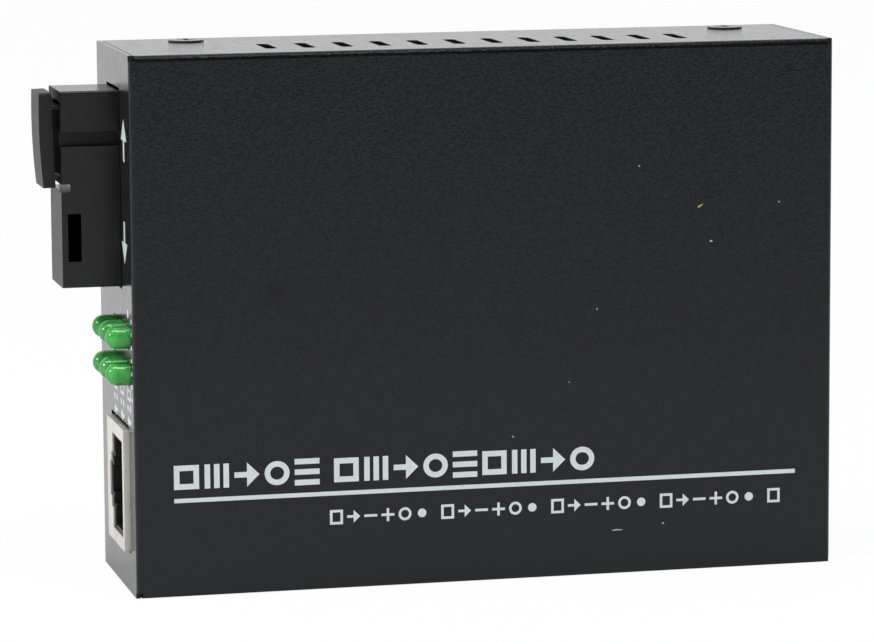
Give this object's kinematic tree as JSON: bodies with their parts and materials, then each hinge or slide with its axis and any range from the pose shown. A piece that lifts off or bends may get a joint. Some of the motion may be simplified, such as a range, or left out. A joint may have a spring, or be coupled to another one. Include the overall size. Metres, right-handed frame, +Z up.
{
  "type": "fibre media converter",
  "caption": "Slim folded-sheet media converter standing on its long side, with an optical module and its dust plug, LEDs and a shielded network jack in front and a power inlet behind.",
  "frame": {"origin": "centre of the underside, the long narrow side that the converter stands on", "axes": "+X from the front panel to the rear panel, +Y from the printed face to the base plate, +Z up"},
  "size_m": [0.1039, 0.026, 0.0702],
  "materials": {
    "case_coat": "fine wrinkle powder coat, semi-gloss, near black",
    "black_screw": "blackened steel",
    "board_laminate": "green solder mask on glass laminate",
    "brass_standoff": "turned brass",
    "plain_screw": "zinc-plated steel",
    "optic_plastic": "moulded plastic with a fine texture, black",
    "tinned_lead": "tinned wire",
    "sleeve_plastic": "moulded holder with a pale sleeve",
    "plug_rubber": "soft black plug, matt",
    "holder_plastic": "black moulded",
    "shield_nickel": "nickel-plated sheet, warm",
    "insert_plastic": "black moulded",
    "gold_contact": "gold-plated wire",
    "inlet_plastic": "black moulded",
    "nickel_pin": "nickel-plated",
    "package_black": "moulded package",
    "can_metal": "drawn metal can",
    "capacitor_sleeve": "shrunk sleeve on an aluminium can",
    "ferrite": "ferrite body",
    "led_green": "diffused green resin"
  },
  "bodies": {
    "case": {"cover": "case_coat", "chassis": "case_coat", "cover_screws": "black_screw", "circuit_board": "board_laminate", "board_standoffs": "brass_standoff", "board_screws": "plain_screw", "optic_housing": "optic_plastic", "optic_pins": "tinned_lead", "ferrule_holder": "sleeve_plastic", "led_leads": "tinned_lead", "led_holder_upper": "holder_plastic", "led_holder_lower": "holder_plastic", "jack_shield": "shield_nickel", "jack_insert": "insert_plastic", "jack_contacts": "gold_contact", "inlet_body": "inlet_plastic", "inlet_pin": "nickel_pin", "inlet_terminal": "nickel_pin", "inlet_spring": "nickel_pin", "network_transformer": "package_black", "converter_chip": "package_black", "memory_chip": "package_black", "crystal_can": "can_metal", "capacitor_1": "capacitor_sleeve", "capacitor_2": "capacitor_sleeve", "power_inductor": "ferrite", "voltage_regulator": "package_black", "led_upper_1": "led_green", "led_upper_2": "led_green", "led_upper_3": "led_green", "led_lower_1": "led_green", "led_lower_2": "led_green", "led_lower_3": "led_green"},
    "plug": {"dust_plug": "plug_rubber"}
  },
  "joints": [
    {"name": "dust_plug_pull", "type": "slide", "parent": "case", "child": "plug", "axis": [-1, 0, 0], "range_m": [0, 0.012]}
  ]
}
